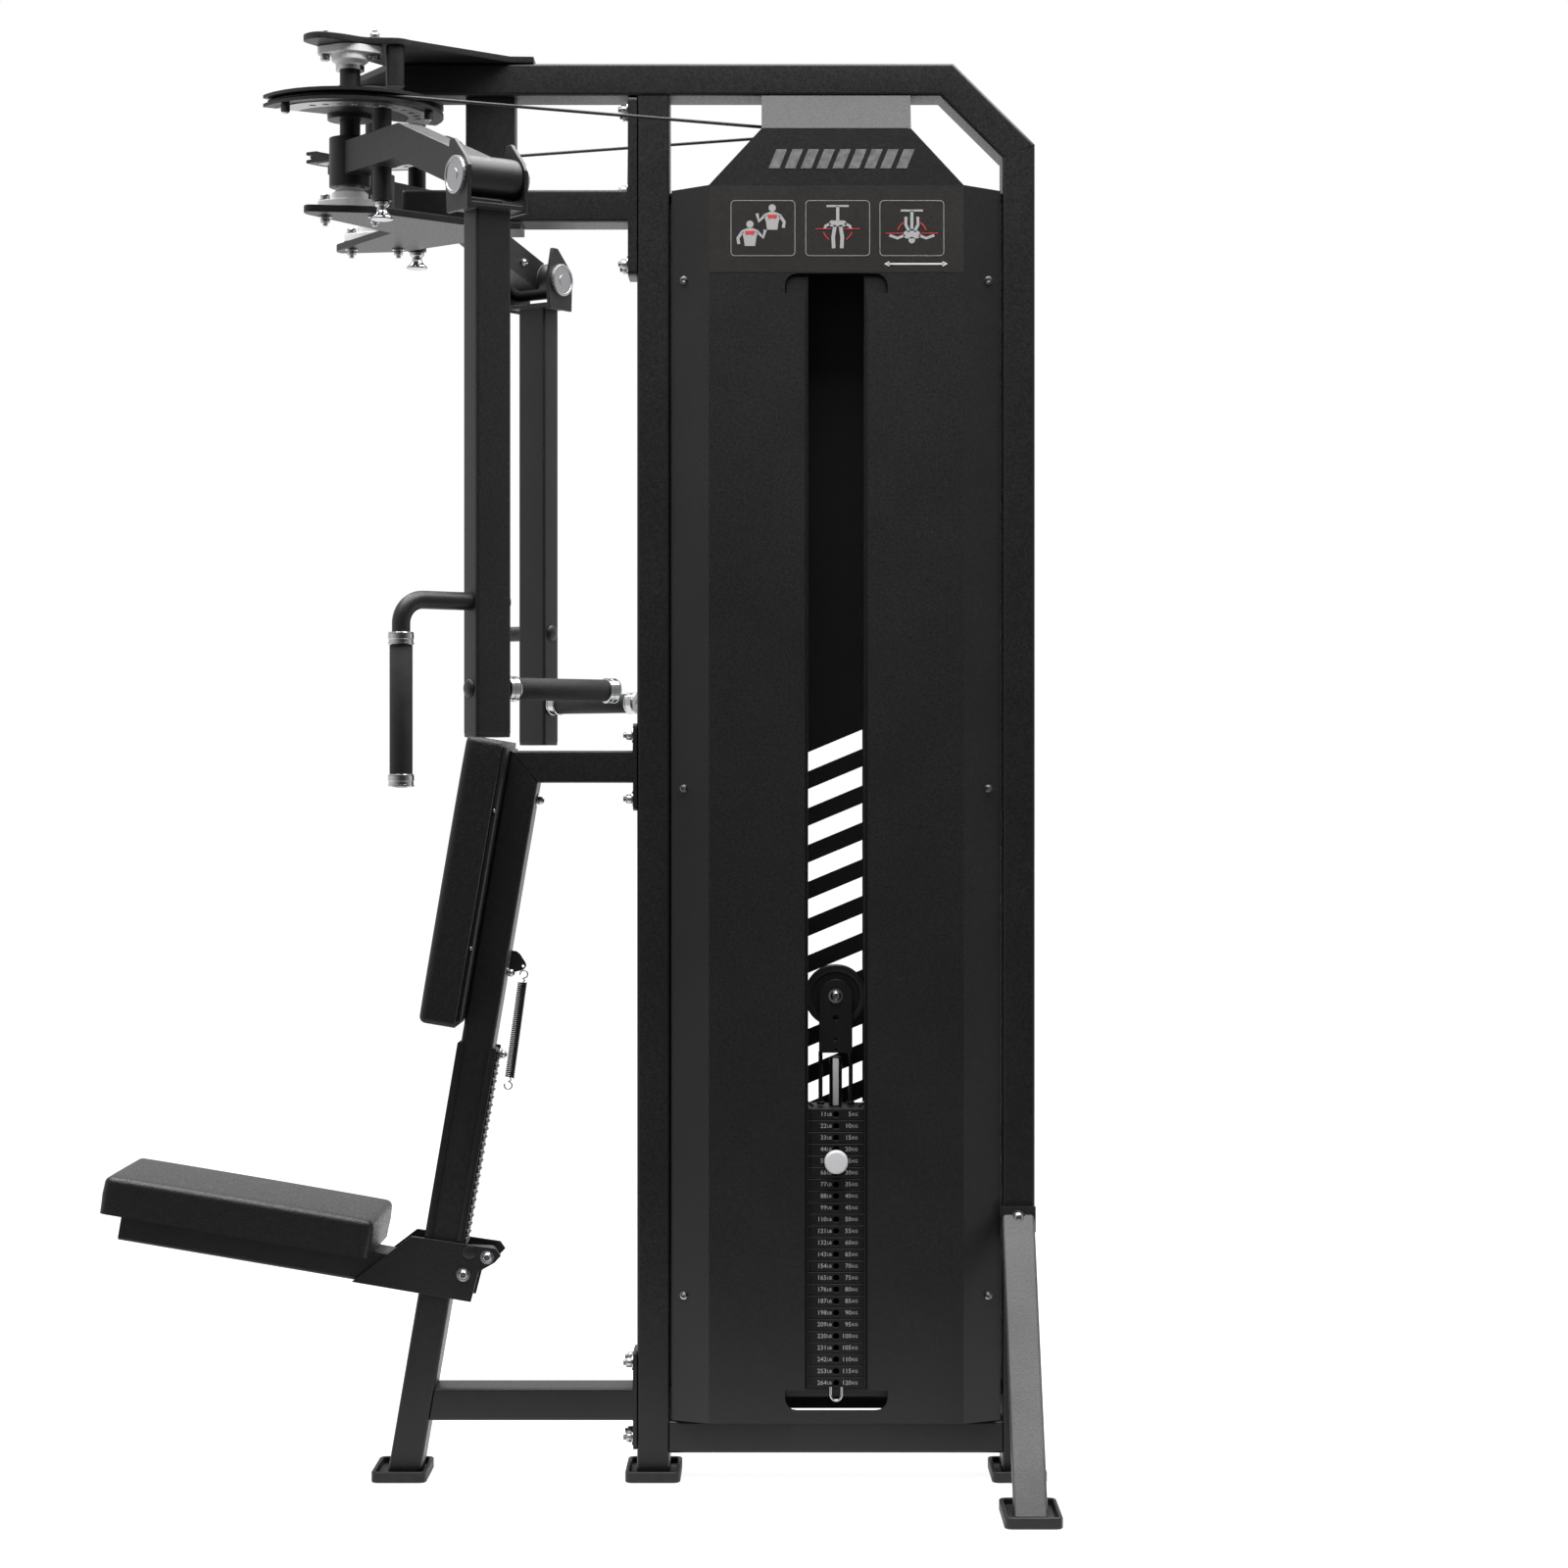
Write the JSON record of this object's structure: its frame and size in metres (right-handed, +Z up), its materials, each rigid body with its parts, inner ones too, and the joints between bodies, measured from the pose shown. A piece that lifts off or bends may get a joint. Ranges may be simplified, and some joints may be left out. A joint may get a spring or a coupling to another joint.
{
  "type": "pec deck machine",
  "caption": "Selectorised chest-fly and rear-delt machine: shrouded weight stack, overhead cable wheels with hanging handled arms, and a padded seat on a leaning post.",
  "frame": {"origin": "on the floor, under the middle of the machine's bounding box", "axes": "+Z up, -X the way the user faces when sitting, -Y the user's left"},
  "size_m": [1.445, 1.1898, 2.2165],
  "materials": {
    "powder_coat": "satin",
    "grey_steel": "textured",
    "cast_grey": "satin",
    "chrome": "polished",
    "rubber": "matte",
    "vinyl": "matte",
    "nylon": "satin",
    "cable_coat": "satin",
    "plate_iron": "satin"
  },
  "bodies": {
    "frame": {"top_beam": "powder_coat", "rear_post": "powder_coat", "front_post": "powder_coat", "bottom_beam": "powder_coat", "arm_support_beam": "powder_coat", "seat_post": "powder_coat", "mid_beam": "powder_coat", "base_beam": "powder_coat", "seat_post_foot": "rubber", "front_post_foot": "rubber", "rear_post_foot": "rubber", "left_stabiliser_foot": "rubber", "right_stabiliser_foot": "rubber", "left_stabiliser": "grey_steel", "right_stabiliser": "grey_steel", "upper_bearing_plate": "powder_coat", "lower_bearing_plate": "powder_coat", "left_upper_bearing": "cast_grey", "left_lower_bearing": "cast_grey", "right_upper_bearing": "cast_grey", "right_lower_bearing": "cast_grey", "resting_plates": "plate_iron", "stack_base": "powder_coat", "guide_head": "powder_coat", "front_guide_rod": "chrome", "rear_guide_rod": "chrome", "pulley_housing": "grey_steel", "left_cable": "cable_coat", "right_cable": "cable_coat", "lifting_cable": "cable_coat", "left_shroud": "powder_coat", "right_shroud": "powder_coat", "seat_rack": "powder_coat", "back_pad": "vinyl", "counter_spring": "powder_coat"},
    "stack": {"top_plate": "plate_iron", "selected_plates": "plate_iron", "selector_rod": "chrome", "stack_yoke": "powder_coat"},
    "selector_pin": {"selector_pin": "cast_grey"},
    "floating_pulley": {"floating_pulley": "nylon"},
    "seat": {"seat_carriage": "powder_coat", "seat_pad": "vinyl"},
    "seat_pawl": {"seat_pawl": "grey_steel"},
    "left_wheel": {"left_cable_wheel": "powder_coat", "left_wheel_cable": "cable_coat"},
    "left_swing_arm": {"left_swing_arm": "powder_coat"},
    "left_pull_pin": {"left_pull_pin": "chrome"},
    "left_press_arm": {"left_press_arm": "powder_coat", "left_fly_handle": "rubber", "left_rear_delt_handle": "rubber"},
    "left_head_pulley": {"left_head_pulley": "nylon"},
    "right_wheel": {"right_cable_wheel": "powder_coat", "right_wheel_cable": "cable_coat"},
    "right_swing_arm": {"right_swing_arm": "powder_coat"},
    "right_pull_pin": {"right_pull_pin": "chrome"},
    "right_press_arm": {"right_press_arm": "powder_coat", "right_fly_handle": "rubber", "right_rear_delt_handle": "rubber"},
    "right_head_pulley": {"right_head_pulley": "nylon"}
  },
  "joints": [
    {"name": "left_wheel_turn", "type": "hinge", "parent": "frame", "child": "left_wheel", "pos_m": [-0.339, -0.157, 2.094], "axis": [0, 0, 1], "range_deg": [-95, 0]},
    {"name": "right_wheel_turn", "type": "hinge", "parent": "frame", "child": "right_wheel", "pos_m": [-0.339, 0.157, 2.094], "axis": [0, 0, 1], "range_deg": [0, 95]},
    {"name": "stack_lift", "type": "slide", "parent": "frame", "child": "stack", "axis": [0, 0, 1], "range_m": [0, 0.22], "deforming": ["lifting_cable"]},
    {"name": "selector_pin_pull", "type": "slide", "parent": "stack", "child": "selector_pin", "axis": [0, -1, 0], "range_m": [0, 0.095]},
    {"name": "floating_pulley_spin", "type": "hinge", "parent": "stack", "child": "floating_pulley", "pos_m": [0.3974, 0, 0.747], "axis": [0, 1, 0], "continuous": true},
    {"name": "left_head_pulley_spin", "type": "hinge", "parent": "frame", "child": "left_head_pulley", "pos_m": [0.31019, -0.01817, 2.0485], "axis": [-0.3994, 0.9168, 0], "range_deg": [-280, 0]},
    {"name": "right_head_pulley_spin", "type": "hinge", "parent": "frame", "child": "right_head_pulley", "pos_m": [0.40039, 0.01622, 2.0485], "axis": [0.3564, 0.9343, 0], "range_deg": [-280, 0]},
    {"name": "left_arm_set", "type": "hinge", "parent": "left_wheel", "child": "left_swing_arm", "pos_m": [-0.339, -0.157, 2.019], "axis": [0, 0, -1], "range_deg": [-24, 60]},
    {"name": "left_pin_pull", "type": "slide", "parent": "left_swing_arm", "child": "left_pull_pin", "axis": [0, 0, -1], "range_m": [0, 0.017], "stiffness_N_per_m": 1200, "springref_m": -0.01},
    {"name": "left_press_swing", "type": "hinge", "parent": "left_swing_arm", "child": "left_press_arm", "pos_m": [-0.10164, -0.50107, 1.931], "axis": [-0.8231, -0.5678, 0], "range_deg": [-8, 25]},
    {"name": "right_arm_set", "type": "hinge", "parent": "right_wheel", "child": "right_swing_arm", "pos_m": [-0.339, 0.157, 2.019], "axis": [0, 0, 1], "range_deg": [-24, 60]},
    {"name": "right_pin_pull", "type": "slide", "parent": "right_swing_arm", "child": "right_pull_pin", "axis": [0, 0, -1], "range_m": [0, 0.017], "stiffness_N_per_m": 1200, "springref_m": -0.01},
    {"name": "right_press_swing", "type": "hinge", "parent": "right_swing_arm", "child": "right_press_arm", "pos_m": [-0.10164, 0.50107, 1.931], "axis": [0.8231, -0.5678, 0], "range_deg": [-8, 25]},
    {"name": "seat_slide", "type": "slide", "parent": "frame", "child": "seat", "axis": [0.1676, 0, 0.9859], "range_m": [0, 0.2]},
    {"name": "seat_pawl_rock", "type": "hinge", "parent": "seat", "child": "seat_pawl", "pos_m": [-0.14109, 0, 0.34568], "axis": [0, 1, 0], "range_deg": [0, 20], "stiffness_Nm_per_rad": 0.6, "springref_deg": -28.65}
  ],
  "couplings": [
    {"joint": "right_wheel_turn", "follows": "left_wheel_turn", "ratio": -1},
    {"joint": "stack_lift", "follows": "left_wheel_turn", "m_per_rad": -0.132},
    {"joint": "left_head_pulley_spin", "follows": "left_wheel_turn", "ratio": 2.9011},
    {"joint": "right_head_pulley_spin", "follows": "left_wheel_turn", "ratio": 2.9011}
  ]
}
